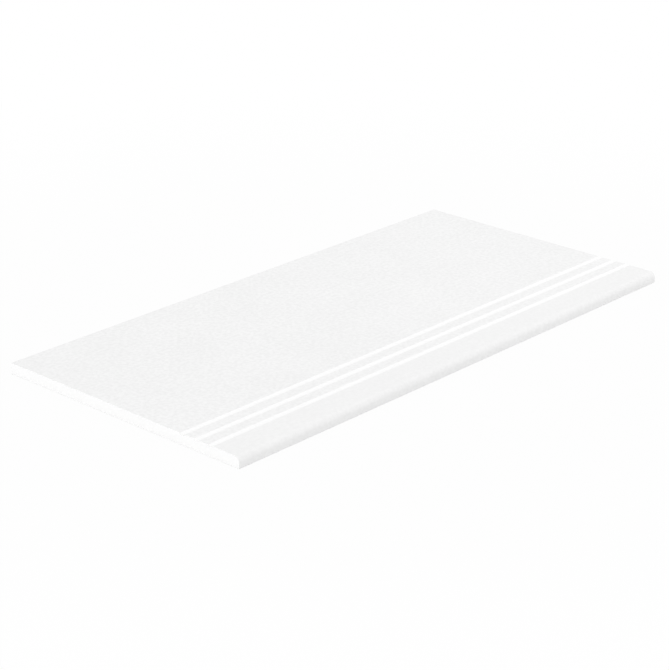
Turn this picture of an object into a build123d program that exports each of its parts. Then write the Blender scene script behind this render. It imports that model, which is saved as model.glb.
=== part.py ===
"""Stair tread tile: a pressed porcelain slab with a rounded nose, three anti-slip grooves and a keyed back.

The tile lies as it is laid. Its origin is in the middle of the underside, +X runs along the nose,
+Y runs from the nose to the back edge and +Z is up. All sizes are in millimetres and degrees.
"""

import os

from build123d import *

# Slab
tile_length = 598.0
tile_depth = 296.0
tile_thickness = 11.0

# Rounded nose along the front edge
nose_radius = 5.5

# Anti-slip grooves, milled end to end behind the nose
groove_count = 3
groove_width = 6.0
groove_depth = 1.5
groove_pitch = 17.0
groove_setback = 34.2  # nose to the middle of the nearest groove

# Ground arris on the cut edges
arris = 0.4

# Keys pressed into the back, so that the bedding mortar grips
key_pitch = 26.0
key_rib = 6.0
key_depth = 0.8
key_draft = 30.0
key_margin = 12.0  # least plain border around the keys

# Places that follow from the sizes above
nose_y = -tile_depth / 2
groove_middle_y = nose_y + groove_setback + groove_pitch * (groove_count - 1) / 2
groove_radius = (groove_width**2 / 4 + groove_depth**2) / (2 * groove_depth)
groove_centre_z = tile_thickness - groove_depth + groove_radius
key_width = key_pitch - key_rib
key_columns = int((tile_length - 2 * key_margin) // key_pitch)
key_rows = int((tile_depth - 2 * key_margin) // key_pitch)

# Key: one square recess, drafted so that the pressed tile leaves its die
with BuildPart() as key:
    with BuildSketch(Plane.XY):
        Rectangle(key_width, key_width)
    extrude(amount=key_depth, taper=key_draft)

with BuildPart() as tread_tile:
    # Side section of the slab, with the nose rounded over
    with BuildSketch(Plane.YZ) as section:
        Rectangle(tile_depth, tile_thickness, align=(Align.CENTER, Align.MIN))
        nose_corner = section.vertices().group_by(Axis.Y)[-1].sort_by(Axis.X)[0]
        fillet(nose_corner, nose_radius)
    extrude(amount=tile_length / 2, both=True)

    # Arrises around both ends, along the back edge and under the nose
    end_edges = tread_tile.faces().filter_by(Axis.X).edges()
    long_edges = tread_tile.edges().filter_by(Axis.X)
    back_edges = long_edges.group_by(Axis.Y)[-1]
    nose_foot = long_edges.group_by(Axis.Y)[0].sort_by(Axis.Z)[0]
    chamfer(end_edges + back_edges + [nose_foot], arris)

    # Grooves, each a shallow round channel
    with BuildSketch(Plane.YZ):
        with Locations((groove_middle_y, groove_centre_z)):
            with GridLocations(groove_pitch, 0, groove_count, 1):
                Circle(groove_radius)
    extrude(amount=tile_length / 2, both=True, mode=Mode.SUBTRACT)

    # Keyed back: the recesses leave a lattice of ribs for the tile to bed on
    with GridLocations(key_pitch, key_pitch, key_columns, key_rows):
        add(key.part, mode=Mode.SUBTRACT)

tread_tile.part.label = "tread_tile"

os.makedirs("parts", exist_ok=True)
export_step(tread_tile.part, "parts/tread_tile.step")
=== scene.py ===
"""Stair tread tile: its porcelain finish, and the plain studio that it is shown in.

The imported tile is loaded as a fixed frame, with the nose along -Y and the walking face up. One operator
gives the tile its finish and one sets the stage. Settings are in metres, and the finish is worked out in
millimetres.
"""

import math
from functools import partial

import bmesh
import bpy
from mathutils import Euler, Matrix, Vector


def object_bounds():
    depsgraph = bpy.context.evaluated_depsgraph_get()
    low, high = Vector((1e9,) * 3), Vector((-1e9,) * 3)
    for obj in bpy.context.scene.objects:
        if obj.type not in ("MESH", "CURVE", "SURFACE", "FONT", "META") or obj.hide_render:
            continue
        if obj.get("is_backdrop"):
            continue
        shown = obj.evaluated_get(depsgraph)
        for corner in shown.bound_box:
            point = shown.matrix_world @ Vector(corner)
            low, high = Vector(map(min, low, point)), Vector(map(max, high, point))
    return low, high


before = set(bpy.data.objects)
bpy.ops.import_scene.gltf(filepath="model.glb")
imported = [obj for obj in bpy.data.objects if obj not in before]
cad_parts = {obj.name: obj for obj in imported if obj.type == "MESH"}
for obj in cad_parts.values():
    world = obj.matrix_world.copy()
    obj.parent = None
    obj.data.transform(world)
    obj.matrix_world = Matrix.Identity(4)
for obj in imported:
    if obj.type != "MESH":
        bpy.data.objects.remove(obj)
CAD_LOW, CAD_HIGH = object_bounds()

bl_info = {
    "name": "Stair tread tile",
    "version": (1, 0, 0),
    "blender": (4, 5, 0),
    "location": "3D View > Sidebar > Tread tile",
    "description": "Finishes a porcelain stair tread tile and sets it in a plain studio",
    "category": "Object",
}

TILE_NODE = "tread_tile"
MM = 0.001
WHITE = (1.0, 1.0, 1.0, 1.0)
SENSOR_WIDTH = 36.0

# Places on the way from a colour's shade, at 0, to its light, at 1
MIDDLE = 0.5
BODY_LIGHTNESS = 0.6

# How far each pattern moves a colour along that way
CLOUD_SHARE = 0.5
FLECK_SHARE = 0.8
SAND_SHARE = 0.8
BODY_SAND_SHARE = 1.2
# Painted shade: how much darker the body colour is made inside the grooves, standing in for shade in those
# recesses
GROOVE_PAINTED_SHADE = 0.15

# How far each pattern stands up, as shares of the relief
FLECK_RELIEF = 0.2
SAND_RELIEF = 1.5

# Octaves of noise in each pattern
PLAIN_DETAIL = 2.0
FLECK_DETAIL = 5.0
WASH_DETAIL = 4.0

# Noise values between which a fleck turns from shade to light, and bare back to kiln wash
FLECK_EDGE = 0.2
WASH_BARE = -0.22
WASH_FULL = 0.05

# Squeeze that draws a tool's marks out along its way
DRAWN_OUT = 0.02

# Millimetres over which a mask gives way at a lip, beside a wall and around the keys of the back
LIP = 0.06
WALL_MARGIN = 0.3
BORDER_FADE = 1.0

# Millimetres in from the tile's edges, within which the back has no keys
BACK_MARGIN = 6.0


class Signal:
    """One output socket of a node tree. Arithmetic on it adds Math nodes to that tree."""

    def __init__(self, socket):
        self.socket = socket

    @classmethod
    def node(cls, tree, kind, settings=None, inputs=None, output=0):
        """Add a node: its settings come first, then the values or links of its sockets."""
        made = tree.nodes.new(kind)
        for name, value in (settings or {}).items():
            setattr(made, name, value)
        for name, value in (inputs or {}).items():
            if isinstance(value, cls):
                tree.links.new(value.socket, made.inputs[name])
            else:
                made.inputs[name].default_value = value
        return cls(made.outputs[output]) if len(made.outputs) else None

    def beside(self, name):
        """Another output of the same node."""
        return Signal(self.socket.node.outputs[name])

    def math(self, operation, *values):
        """Add a Math node to the tree of this socket."""
        return Signal.node(
            self.socket.id_data, "ShaderNodeMath", {"operation": operation}, dict(enumerate(values))
        )

    def __add__(self, other):
        return self.math("ADD", self, other)

    def __radd__(self, other):
        return self.math("ADD", other, self)

    def __sub__(self, other):
        return self.math("SUBTRACT", self, other)

    def __rsub__(self, other):
        return self.math("SUBTRACT", other, self)

    def __mul__(self, other):
        return self.math("MULTIPLY", self, other)

    def __rmul__(self, other):
        return self.math("MULTIPLY", other, self)

    def __truediv__(self, other):
        return self.math("DIVIDE", self, other)

    def __rtruediv__(self, other):
        return self.math("DIVIDE", other, self)

    def __abs__(self):
        return self.math("ABSOLUTE", self)

    def __round__(self):
        return self.math("ROUND", self)

    def at_least(self, other):
        return self.math("MAXIMUM", self, other)

    def at_most(self, other):
        return self.math("MINIMUM", self, other)


class TreadFinish(bpy.types.PropertyGroup):
    """Where each finish of the tile begins, and what it looks like."""

    face_light: bpy.props.FloatVectorProperty(
        name="Face, light flecks", description="Pale flecks of the matt walking face and nose",
        subtype="COLOR", size=3, min=0.0, max=1.0, default=(0.905, 0.905, 0.905),
    )
    face_shade: bpy.props.FloatVectorProperty(
        name="Face, shaded flecks", description="Darker flecks of the matt walking face and nose",
        subtype="COLOR", size=3, min=0.0, max=1.0, default=(0.830, 0.830, 0.830),
    )
    body_light: bpy.props.FloatVectorProperty(
        name="Body, light grain", description="White porcelain body that the grooves and ground edges show",
        subtype="COLOR", size=3, min=0.0, max=1.0, default=(0.955, 0.955, 0.955),
    )
    body_shade: bpy.props.FloatVectorProperty(
        name="Body, shaded grain", description="Darker grain of the porcelain body",
        subtype="COLOR", size=3, min=0.0, max=1.0, default=(0.915, 0.915, 0.915),
    )
    back_colour: bpy.props.FloatVectorProperty(
        name="Back", description="Unglazed back, in the recesses between the ribs",
        subtype="COLOR", size=3, min=0.0, max=1.0, default=(0.80, 0.79, 0.77),
    )
    wash_colour: bpy.props.FloatVectorProperty(
        name="Kiln wash", description="Chalky wash that the ribs of the back are rolled with",
        subtype="COLOR", size=3, min=0.0, max=1.0, default=(0.90, 0.90, 0.89),
    )
    cloud_size: bpy.props.FloatProperty(
        name="Clouds", description="Width of the faint clouds in the face",
        unit="LENGTH", min=0.0, default=60.0 * MM,
    )
    fleck_size: bpy.props.FloatProperty(
        name="Flecks", description="Width of the flecks in the face",
        unit="LENGTH", min=0.0, default=3.5 * MM,
    )
    sand_size: bpy.props.FloatProperty(
        name="Sand", description="Width of the sandy grain in the face and the body",
        unit="LENGTH", min=0.0, default=0.5 * MM,
    )
    wash_size: bpy.props.FloatProperty(
        name="Wash patches", description="Width of the patches in the kiln wash",
        unit="LENGTH", min=0.0, default=9.0 * MM,
    )
    front_smoothing: bpy.props.FloatProperty(
        name="Front smoothing", description="Share of the grain that is missing in front of the grooves",
        subtype="FACTOR", min=0.0, max=1.0, default=0.45,
    )
    tool_mark: bpy.props.FloatProperty(
        name="Tool marks", description="Spacing of the lines that grinding and milling leave",
        unit="LENGTH", min=0.0, default=0.3 * MM,
    )
    relief: bpy.props.FloatProperty(
        name="Relief", description="Height of the fine relief", unit="LENGTH", min=0.0, default=0.05 * MM,
    )
    relief_strength: bpy.props.FloatProperty(
        name="Relief strength", description="How clearly the fine relief shows",
        subtype="FACTOR", min=0.0, max=1.0, default=0.5,
    )
    gloss: bpy.props.FloatProperty(
        name="Gloss", description="How much the tile mirrors its surroundings",
        subtype="FACTOR", min=0.0, max=1.0, default=0.3,
    )
    face_roughness: bpy.props.FloatProperty(
        name="Face roughness", description="Roughness of the matt face",
        subtype="FACTOR", min=0.0, max=1.0, default=0.78,
    )
    body_roughness: bpy.props.FloatProperty(
        name="Body roughness", description="Roughness of the ground and milled body",
        subtype="FACTOR", min=0.0, max=1.0, default=0.88,
    )
    fleck_roughness: bpy.props.FloatProperty(
        name="Fleck roughness", description="How much rougher a light fleck is than a dark one",
        subtype="FACTOR", min=0.0, max=1.0, default=0.1,
    )
    arris: bpy.props.FloatProperty(
        name="Arris", description="Width of the ground arris on the cut edges",
        unit="LENGTH", min=0.0, default=0.4 * MM,
    )
    groove_count: bpy.props.IntProperty(
        name="Grooves", description="Number of anti-slip grooves", min=1, default=3,
    )
    groove_setback: bpy.props.FloatProperty(
        name="Groove setback", description="Nose to the middle of the nearest groove",
        unit="LENGTH", min=0.0, default=34.2 * MM,
    )
    groove_pitch: bpy.props.FloatProperty(
        name="Groove pitch", description="Middle of one groove to the middle of the next",
        unit="LENGTH", min=0.0, default=17.0 * MM,
    )
    groove_width: bpy.props.FloatProperty(
        name="Groove width", description="Width of a groove at the walking face",
        unit="LENGTH", min=0.0, default=6.0 * MM,
    )
    groove_depth: bpy.props.FloatProperty(
        name="Groove depth", description="Depth of a groove below the walking face",
        unit="LENGTH", min=0.0, default=1.5 * MM,
    )
    key_depth: bpy.props.FloatProperty(
        name="Key depth", description="Depth of the recesses in the keyed back",
        unit="LENGTH", min=0.0, default=0.8 * MM,
    )


class TreadStage(bpy.types.PropertyGroup):
    """Floor, lamps and camera."""

    lens: bpy.props.FloatProperty(
        name="Lens", description="Focal length on a 36 mm wide sensor", unit="CAMERA", default=112.2,
    )
    view_turn: bpy.props.FloatProperty(
        name="View turn", description="Turn of the view about the vertical, from straight on to the nose",
        subtype="ANGLE", default=math.radians(47.22),
    )
    view_dip: bpy.props.FloatProperty(
        name="View dip", description="How far the camera looks down",
        subtype="ANGLE", default=math.radians(22.08),
    )
    view_distance: bpy.props.FloatProperty(
        name="View distance", description="Camera to the point that it looks at",
        unit="LENGTH", default=1.9692,
    )
    view_aim: bpy.props.FloatVectorProperty(
        name="View aim", description="Point on the walking face in the middle of the picture",
        subtype="XYZ", unit="LENGTH", size=3, default=(-0.0482, CAD_LOW.y + 0.12467, CAD_HIGH.z),
    )
    floor_colour: bpy.props.FloatVectorProperty(
        name="Floor", description="Plain pale floor",
        subtype="COLOR", size=3, min=0.0, max=1.0, default=(0.72, 0.72, 0.72),
    )
    floor_reach: bpy.props.FloatProperty(
        name="Floor reach", description="Middle of the floor to its edges",
        unit="LENGTH", min=0.0, default=6.0,
    )
    floor_gap: bpy.props.FloatProperty(
        name="Floor gap", description="Hair's breadth between the floor and the tile",
        unit="LENGTH", min=0.0, default=0.05 * MM,
    )
    floor_glow: bpy.props.FloatProperty(
        name="Floor glow", description="Share of plain white in the floor around the tile, as it is seen",
        subtype="FACTOR", min=0.0, max=1.0, default=0.96,
    )
    shadow_reach: bpy.props.FloatProperty(
        name="Shadow reach", description="Middle of the tile to where the floor begins to turn plain white",
        unit="LENGTH", min=0.0, default=0.3,
    )
    white_reach: bpy.props.FloatProperty(
        name="White reach", description="Middle of the tile to where the floor is plain white",
        unit="LENGTH", min=0.0, default=0.9,
    )
    sky_strength: bpy.props.FloatProperty(
        name="Surrounding light", description="Even white light from all around", min=0.0, default=0.790,
    )
    softbox_size: bpy.props.FloatProperty(
        name="Softbox size", description="Side of the large softboxes in front and on the left",
        unit="LENGTH", min=0.0, default=3.0,
    )
    fill_size: bpy.props.FloatProperty(
        name="Fill size", description="Side of the small softbox on the right",
        unit="LENGTH", min=0.0, default=1.4,
    )
    front_place: bpy.props.FloatVectorProperty(
        name="Front softbox", description="Place of the lamp far in front of the nose, to its right",
        subtype="XYZ", unit="LENGTH", size=3, default=(1.6, -4.7, 2.9),
    )
    front_power: bpy.props.FloatProperty(
        name="Front power", description="Power of the front softbox", unit="POWER", min=0.0, default=76.6,
    )
    left_place: bpy.props.FloatVectorProperty(
        name="Left softbox", description="Place of the low lamp far beside the left end",
        subtype="XYZ", unit="LENGTH", size=3, default=(-5.4, 1.2, 1.7),
    )
    left_power: bpy.props.FloatProperty(
        name="Left power", description="Power of the left softbox", unit="POWER", min=0.0, default=104.0,
    )
    right_place: bpy.props.FloatVectorProperty(
        name="Right softbox", description="Place of the small lamp near the right end",
        subtype="XYZ", unit="LENGTH", size=3, default=(1.7, 0.5, 1.4),
    )
    right_power: bpy.props.FloatProperty(
        name="Right power", description="Power of the right softbox", unit="POWER", min=0.0, default=5.3,
    )


def empty_nodes(owner):
    """Clear the node tree of a material or a world, and return what adds nodes to it."""
    owner.use_nodes = True
    owner.node_tree.nodes.clear()
    return partial(Signal.node, owner.node_tree)


def fade(node, value, low, high):
    """A mask that rises smoothly from 0 at low to 1 at high."""
    return node(
        "ShaderNodeMapRange",
        {"interpolation_type": "SMOOTHSTEP"},
        {"Value": value, "From Min": low, "From Max": high},
    )


def noise(node, place, size, detail=PLAIN_DETAIL):
    """Noise about 0, from about -0.5 to 0.5, whose patches are about this wide in millimetres."""
    pattern = node("ShaderNodeTexNoise", {}, {"Vector": place, "Scale": 1 / size, "Detail": detail})
    return pattern - MIDDLE


def drawn_out(node, place, squeeze):
    """The place, squeezed along the way that a tool ran, so that a pattern there draws out into lines."""
    return node("ShaderNodeVectorMath", {"operation": "MULTIPLY"}, {0: place, 1: squeeze})


def mix_colour(node, factor, first, second):
    """The first colour where factor is 0, and the second where it is 1."""
    return node("ShaderNodeMix", {"data_type": "RGBA"}, {0: factor, 6: first, 7: second}, output=2)


def opaque(colour):
    """The colour, with the full alpha that colour sockets take."""
    return (*colour, 1.0)


def worked_edges(node, finish, x, y):
    """Mask of the ends and the back edge, where grinding bares the body across the arris."""
    half_length = CAD_HIGH.x / MM
    back = CAD_HIGH.y / MM
    arris = finish.arris / MM
    ends = fade(node, abs(x), half_length - arris, half_length)
    back_edge = fade(node, y, back - arris, back)
    return ends.at_least(back_edge)


def milled_grooves(node, finish, y, z):
    """Mask of the anti-slip grooves, from just below the walking face."""
    first = (CAD_LOW.y + finish.groove_setback) / MM
    pitch = finish.groove_pitch / MM
    half_width = finish.groove_width / MM / 2
    depth = finish.groove_depth / MM
    row = round((y - first) / pitch).at_least(0.0).at_most(finish.groove_count - 1)
    aside = abs(y - first - row * pitch)
    sunk = CAD_HIGH.z / MM - z
    inside = 1 - fade(node, aside, half_width, half_width + WALL_MARGIN)
    below_face = fade(node, sunk, 0.0, LIP)
    above_floor = 1 - fade(node, sunk, depth + WALL_MARGIN, depth + 2 * WALL_MARGIN)
    return inside * below_face * above_floor


def smooth_front(node, finish, y):
    """Mask of the nose and the strip up to the nearest groove, where the face has less grain."""
    groove = (CAD_LOW.y + finish.groove_setback) / MM
    half_width = finish.groove_width / MM / 2
    return 1 - fade(node, y, groove - half_width, groove + half_width)


def underside(node, finish, x, y, z):
    """Masks of the whole back and of its rib tops, which carry the kiln wash."""
    rib_tops = 1 - fade(node, z, LIP / 2, 2 * LIP)
    half_length = CAD_HIGH.x / MM - BACK_MARGIN
    half_depth = CAD_HIGH.y / MM - BACK_MARGIN
    recess = finish.key_depth / MM
    along = 1 - fade(node, abs(x), half_length, half_length + BORDER_FADE)
    across = 1 - fade(node, abs(y), half_depth, half_depth + BORDER_FADE)
    low_down = 1 - fade(node, z, recess + LIP, recess + WALL_MARGIN)
    return rib_tops.at_least(along * across * low_down), rib_tops


def porcelain(finish):
    """Matt porcelain: a pale flecked face, a whiter body where it is cut, and a washed back."""
    material = bpy.data.materials.new("tread_porcelain")
    node = empty_nodes(material)

    metres = node("ShaderNodeTexCoord", {}, {}, output="Object")
    place = node("ShaderNodeVectorMath", {"operation": "SCALE"}, {"Vector": metres, "Scale": 1 / MM})
    x = node("ShaderNodeSeparateXYZ", {}, {"Vector": place})
    y = x.beside("Y")
    z = x.beside("Z")

    edges = worked_edges(node, finish, x, y)
    grooves = milled_grooves(node, finish, y, z)
    back, rib_tops = underside(node, finish, x, y, z)
    cut = edges.at_least(grooves).at_least(back)

    clouds = noise(node, place, finish.cloud_size / MM)
    speckle = noise(node, place, finish.fleck_size / MM, FLECK_DETAIL)
    flecks = fade(node, speckle, -FLECK_EDGE, FLECK_EDGE) - MIDDLE
    sand = noise(node, place, finish.sand_size / MM)
    patches = noise(node, place, finish.wash_size / MM, WASH_DETAIL)

    grain = 1 - smooth_front(node, finish, y) * finish.front_smoothing
    face_tone = MIDDLE + grain * (clouds * CLOUD_SHARE + flecks * FLECK_SHARE + sand * SAND_SHARE)
    face = mix_colour(node, face_tone, opaque(finish.face_shade), opaque(finish.face_light))
    # The body colour is darkened inside the grooves as painted shade
    body_tone = BODY_LIGHTNESS - grooves * GROOVE_PAINTED_SHADE + sand * BODY_SAND_SHARE
    body = mix_colour(node, body_tone, opaque(finish.body_shade), opaque(finish.body_light))
    bare_back = mix_colour(node, MIDDLE + patches, opaque(finish.back_colour), opaque(finish.body_shade))
    washed = rib_tops * fade(node, patches, WASH_BARE, WASH_FULL)
    back_colour = mix_colour(node, washed, bare_back, opaque(finish.wash_colour))
    colour = mix_colour(node, cut, face, mix_colour(node, back, body, back_colour))

    mark = finish.tool_mark / MM
    grinding = noise(node, drawn_out(node, place, (DRAWN_OUT, DRAWN_OUT, 1.0)), mark)
    milling = noise(node, drawn_out(node, place, (DRAWN_OUT, 1.0, 1.0)), mark)
    face_relief = grain * (flecks * FLECK_RELIEF + sand * SAND_RELIEF)
    body_relief = sand + edges * grinding + grooves * milling
    relief = face_relief * (1 - cut) + body_relief * cut
    bump = node(
        "ShaderNodeBump",
        {},
        {"Strength": finish.relief_strength, "Distance": finish.relief, "Height": relief},
    )

    rougher = finish.body_roughness - finish.face_roughness
    roughness = finish.face_roughness + cut * rougher + flecks * finish.fleck_roughness
    surface = node(
        "ShaderNodeBsdfPrincipled",
        {},
        {"Base Color": colour, "Roughness": roughness, "Normal": bump, "Specular IOR Level": finish.gloss},
    )
    node("ShaderNodeOutputMaterial", {}, {"Surface": surface})
    return material


def seen_directly(node):
    """1 for what the camera sees, straight, mirrored or through glass, and 0 for other light."""
    path = node("ShaderNodeLightPath", {}, {}, output="Is Camera Ray")
    return (path + path.beside("Is Glossy Ray") + path.beside("Is Transmission Ray")).at_most(1.0)


def floor_finish(stage):
    """Pale matt floor that keeps the tile's shadow, and that is seen as plain white further off."""
    material = bpy.data.materials.new("studio_floor")
    node = empty_nodes(material)
    metres = node("ShaderNodeTexCoord", {}, {}, output="Object")
    away = node("ShaderNodeVectorMath", {"operation": "LENGTH"}, {"Vector": metres}, output="Value")
    further_off = fade(node, away, stage.shadow_reach, stage.white_reach)
    glow = seen_directly(node) * (stage.floor_glow + (1 - stage.floor_glow) * further_off)
    matt = node("ShaderNodeBsdfDiffuse", {}, {"Color": opaque(stage.floor_colour)})
    white = node("ShaderNodeEmission", {}, {"Color": WHITE, "Strength": 1.0})
    surface = node("ShaderNodeMixShader", {}, {0: glow, 1: matt, 2: white})
    node("ShaderNodeOutputMaterial", {}, {"Surface": surface})
    return material


def lay_floor(stage):
    """A wide plain floor just under the tile."""
    shape = bmesh.new()
    bmesh.ops.create_grid(shape, x_segments=1, y_segments=1, size=stage.floor_reach)
    bmesh.ops.translate(shape, vec=(0.0, 0.0, CAD_LOW.z - stage.floor_gap), verts=shape.verts)
    mesh = bpy.data.meshes.new("studio_floor")
    shape.to_mesh(mesh)
    shape.free()
    mesh.materials.append(floor_finish(stage))
    floor = bpy.data.objects.new("studio_floor", mesh)
    bpy.context.scene.collection.objects.link(floor)
    floor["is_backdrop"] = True


def light_surroundings(stage):
    """Even white light from all around, seen as plain white beyond the floor."""
    world = bpy.data.worlds.new("studio")
    node = empty_nodes(world)
    seen = seen_directly(node)
    strength = seen + (1 - seen) * stage.sky_strength
    light = node("ShaderNodeBackground", {}, {"Color": WHITE, "Strength": strength})
    node("ShaderNodeOutputWorld", {}, {"Surface": light})
    bpy.context.scene.world = world


def hang_softbox(name, place, size, power):
    """A square softbox at place, turned to the middle of the tile."""
    lamp = bpy.data.lights.new(name, "AREA")
    lamp.shape = "SQUARE"
    lamp.size = size
    lamp.energy = power
    softbox = bpy.data.objects.new(name, lamp)
    softbox.location = place
    softbox.rotation_euler = (-Vector(place)).to_track_quat("-Z", "Y").to_euler()
    bpy.context.scene.collection.objects.link(softbox)


def stand_camera(stage):
    """The photograph's view: from the left end's side of the nose, looking down along the tile."""
    camera = bpy.data.cameras.new("camera")
    camera.sensor_fit = "HORIZONTAL"
    camera.sensor_width = SENSOR_WIDTH
    camera.lens = stage.lens
    turn = Euler((math.pi / 2 - stage.view_dip, 0.0, -stage.view_turn))
    looks_along = turn.to_matrix() @ Vector((0.0, 0.0, -1.0))
    stand = bpy.data.objects.new("camera", camera)
    stand.rotation_euler = turn
    stand.location = Vector(stage.view_aim) - stage.view_distance * looks_along
    bpy.context.scene.collection.objects.link(stand)
    bpy.context.scene.camera = stand


class TREAD_OT_finish_tile(bpy.types.Operator):
    """Give the tile its porcelain finish"""

    bl_idname = "tread.finish_tile"
    bl_label = "Finish the tile"

    def execute(self, context):
        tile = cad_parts[TILE_NODE]
        tile.material_slots[0].material = porcelain(context.scene.tread_finish)
        return {"FINISHED"}


class TREAD_OT_set_stage(bpy.types.Operator):
    """Lay the floor, hang the lamps and stand the camera"""

    bl_idname = "tread.set_stage"
    bl_label = "Set the stage"

    def execute(self, context):
        stage = context.scene.tread_stage
        context.scene.view_settings.view_transform = "Standard"
        lay_floor(stage)
        light_surroundings(stage)
        hang_softbox("front_softbox", stage.front_place, stage.softbox_size, stage.front_power)
        hang_softbox("left_softbox", stage.left_place, stage.softbox_size, stage.left_power)
        hang_softbox("right_softbox", stage.right_place, stage.fill_size, stage.right_power)
        stand_camera(stage)
        return {"FINISHED"}


class TREAD_PT_panel(bpy.types.Panel):
    """Lists what finishes the tile and sets its stage"""

    bl_idname = "TREAD_PT_panel"
    bl_label = "Stair tread tile"
    bl_space_type = "VIEW_3D"
    bl_region_type = "UI"
    bl_category = "Tread tile"

    def draw(self, context):
        for operator, settings in (
            (TREAD_OT_finish_tile, context.scene.tread_finish),
            (TREAD_OT_set_stage, context.scene.tread_stage),
        ):
            column = self.layout.column()
            column.operator(operator.bl_idname)
            for name in settings.__annotations__:
                column.prop(settings, name)


CLASSES = (TreadFinish, TreadStage, TREAD_OT_finish_tile, TREAD_OT_set_stage, TREAD_PT_panel)


def register():
    for cls in CLASSES:
        bpy.utils.register_class(cls)
    bpy.types.Scene.tread_finish = bpy.props.PointerProperty(type=TreadFinish)
    bpy.types.Scene.tread_stage = bpy.props.PointerProperty(type=TreadStage)


def unregister():
    del bpy.types.Scene.tread_stage
    del bpy.types.Scene.tread_finish
    for cls in reversed(CLASSES):
        bpy.utils.unregister_class(cls)


def main():
    """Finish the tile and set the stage."""
    register()
    bpy.ops.tread.finish_tile()
    bpy.ops.tread.set_stage()
    low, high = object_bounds()
    sizes = {"cad": [list(CAD_LOW), list(CAD_HIGH)], "visual": [list(low), list(high)]}


if __name__ == "__main__":
    main()
